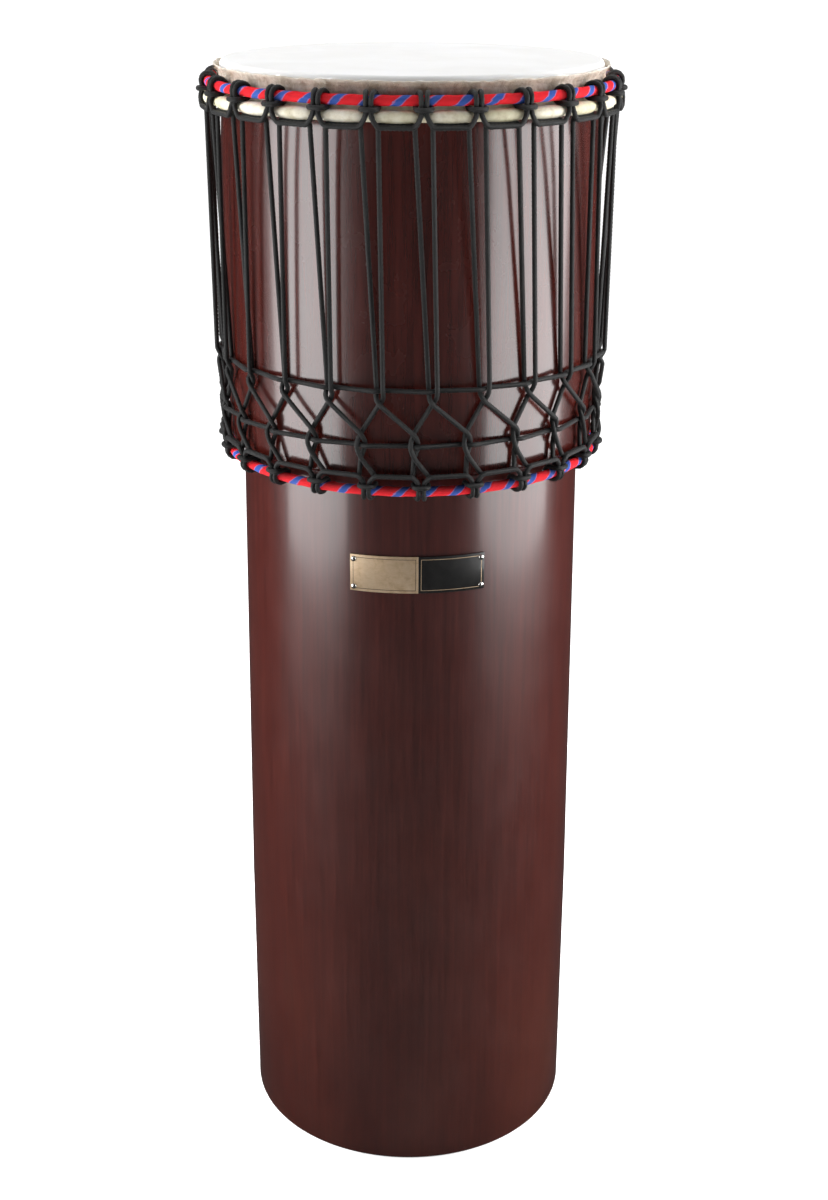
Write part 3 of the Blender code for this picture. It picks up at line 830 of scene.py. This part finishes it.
for tag, (sx, sz) in (("upper_left", (-1, 1)), ("lower_left", (-1, -1)), ("upper_right", (1, 1)), ("lower_right", (1, -1))):
    t = radians(BADGE_TURN) + sx * NAIL_SIDE / BADGE_R
    z = BADGE_Z + sz * NAIL_RISE
    dome = [(0.02, NAIL_HEAD_H)] + [(NAIL_HEAD_R * sin(radians(g)), NAIL_HEAD_H * cos(radians(g)) ** 0.8)
                                    for g in (12, 24, 36, 48, 60, 70, 79, 86)]
    dome += [(NAIL_HEAD_R, -0.02), (NAIL_SHANK_R, -0.02), (NAIL_SHANK_R, -NAIL_LENGTH + 1.5), (0.02, -NAIL_LENGTH)]
    G = spin(dome, 32)
    base = FACE + CLEAR
    radial = np.array([sin(t), -cos(t), 0])
    tang = np.array([cos(t), sin(t), 0])
    centre = radial * base + np.array([0, 0, z])
    P = centre + G[..., 2:3] * radial + G[..., 0:1] * tang + G[..., 1:2] * np.array([0, 0, 1.0])
    me = grid_mesh("nail_" + tag + "_dome", P, True, True)
    piece("nail_" + tag + "_dome", me, NICKEL, "nail_metal", "nail_" + tag, sharp=50)

# ---------------------------------------------------------------------------
# Floor, lights, camera
# ---------------------------------------------------------------------------
floor_mesh = bpy.data.meshes.new("floor")
S = 45.0
floor_mesh.from_pydata([(-S, -S, 0), (S, -S, 0), (S, S, 0), (-S, S, 0)], [], [(0, 1, 2, 3)])
floor = bpy.data.objects.new("floor", floor_mesh)
bpy.context.scene.collection.objects.link(floor)
floor_mat, nt, b = new_material("floor_paper")
co = add(nt, "ShaderNodeTexCoord").outputs["Object"]
nt.links.new(ramp(nt, noise_tex(nt, co, 3, 2), [(0.3, grey(0.86)), (0.7, grey(0.88))]), b.inputs["Base Color"])
b.inputs["Roughness"].default_value = 0.9
b.inputs["Specular IOR Level"].default_value = 0.1
b.inputs["Emission Color"].default_value = (1, 1, 1, 1)
b.inputs["Emission Strength"].default_value = 0.45
floor_mesh.materials.append(floor_mat)
floor.visible_glossy = False


def softbox(name, at, aim, size, power, tint=(1, 1, 1)):
    data = bpy.data.lights.new(name, "AREA")
    data.shape = "RECTANGLE"
    data.size, data.size_y = size
    data.energy = power
    data.color = tint
    obj = bpy.data.objects.new(name, data)
    bpy.context.scene.collection.objects.link(obj)
    obj.location = at
    obj.rotation_euler = (Vector(aim) - Vector(at)).to_track_quat("-Z", "Y").to_euler()
    return obj


def round_drum(azimuth, dist, z):
    """Point round the drum; azimuth in degrees from the front, to the right."""
    a = radians(azimuth)
    return (dist * sin(a), -dist * cos(a), z)


for box in (softbox("left_box", round_drum(-65, 1.5, 0.66), (0, 0, 0.62), (1.30, 1.2), 30),
            softbox("right_box", round_drum(74, 1.5, 0.66), (0, 0, 0.62), (1.65, 1.2), 36)):
    box.visible_diffuse = False
for box in (softbox("left_wash", round_drum(-98, 1.4, 0.95), (0, 0, 0.62), (0.9, 1.3), 44),
            softbox("right_wash", round_drum(100, 1.4, 0.95), (0, 0, 0.62), (0.9, 1.3), 46)):
    box.visible_glossy = False
sky = bpy.data.lights.new("ceiling", "SUN")
sky.energy = 2.5
sky.angle = radians(75)
ceiling = bpy.data.objects.new("ceiling", sky)
bpy.context.scene.collection.objects.link(ceiling)
ceiling.rotation_euler = (radians(-12), 0, 0)

bpy.context.scene.view_settings.view_transform = "Standard"
world = bpy.data.worlds.new("studio")
bpy.context.scene.world = world
world.use_nodes = True
world.node_tree.nodes["Background"].inputs[0].default_value = (1, 1, 1, 1)
world.node_tree.nodes["Background"].inputs[1].default_value = 0.045

cam_data = bpy.data.cameras.new("camera")
cam_data.sensor_fit = "VERTICAL"
cam_data.sensor_height = 24.0
cam_data.lens = 1814.5 * 24.0 / 1200
cam_data.shift_x = 0.00334
cam_data.clip_end = 200
cam = bpy.data.objects.new("camera", cam_data)
bpy.context.scene.collection.objects.link(cam)
cam.matrix_world = (Matrix.Translation((0, -1.4963, 1.0812)) @ Matrix.Rotation(radians(90 - 21.58), 4, "X")
                    @ Matrix.Rotation(radians(0.221), 4, "Z"))
bpy.context.scene.camera = cam

bpy.context.view_layer.update()
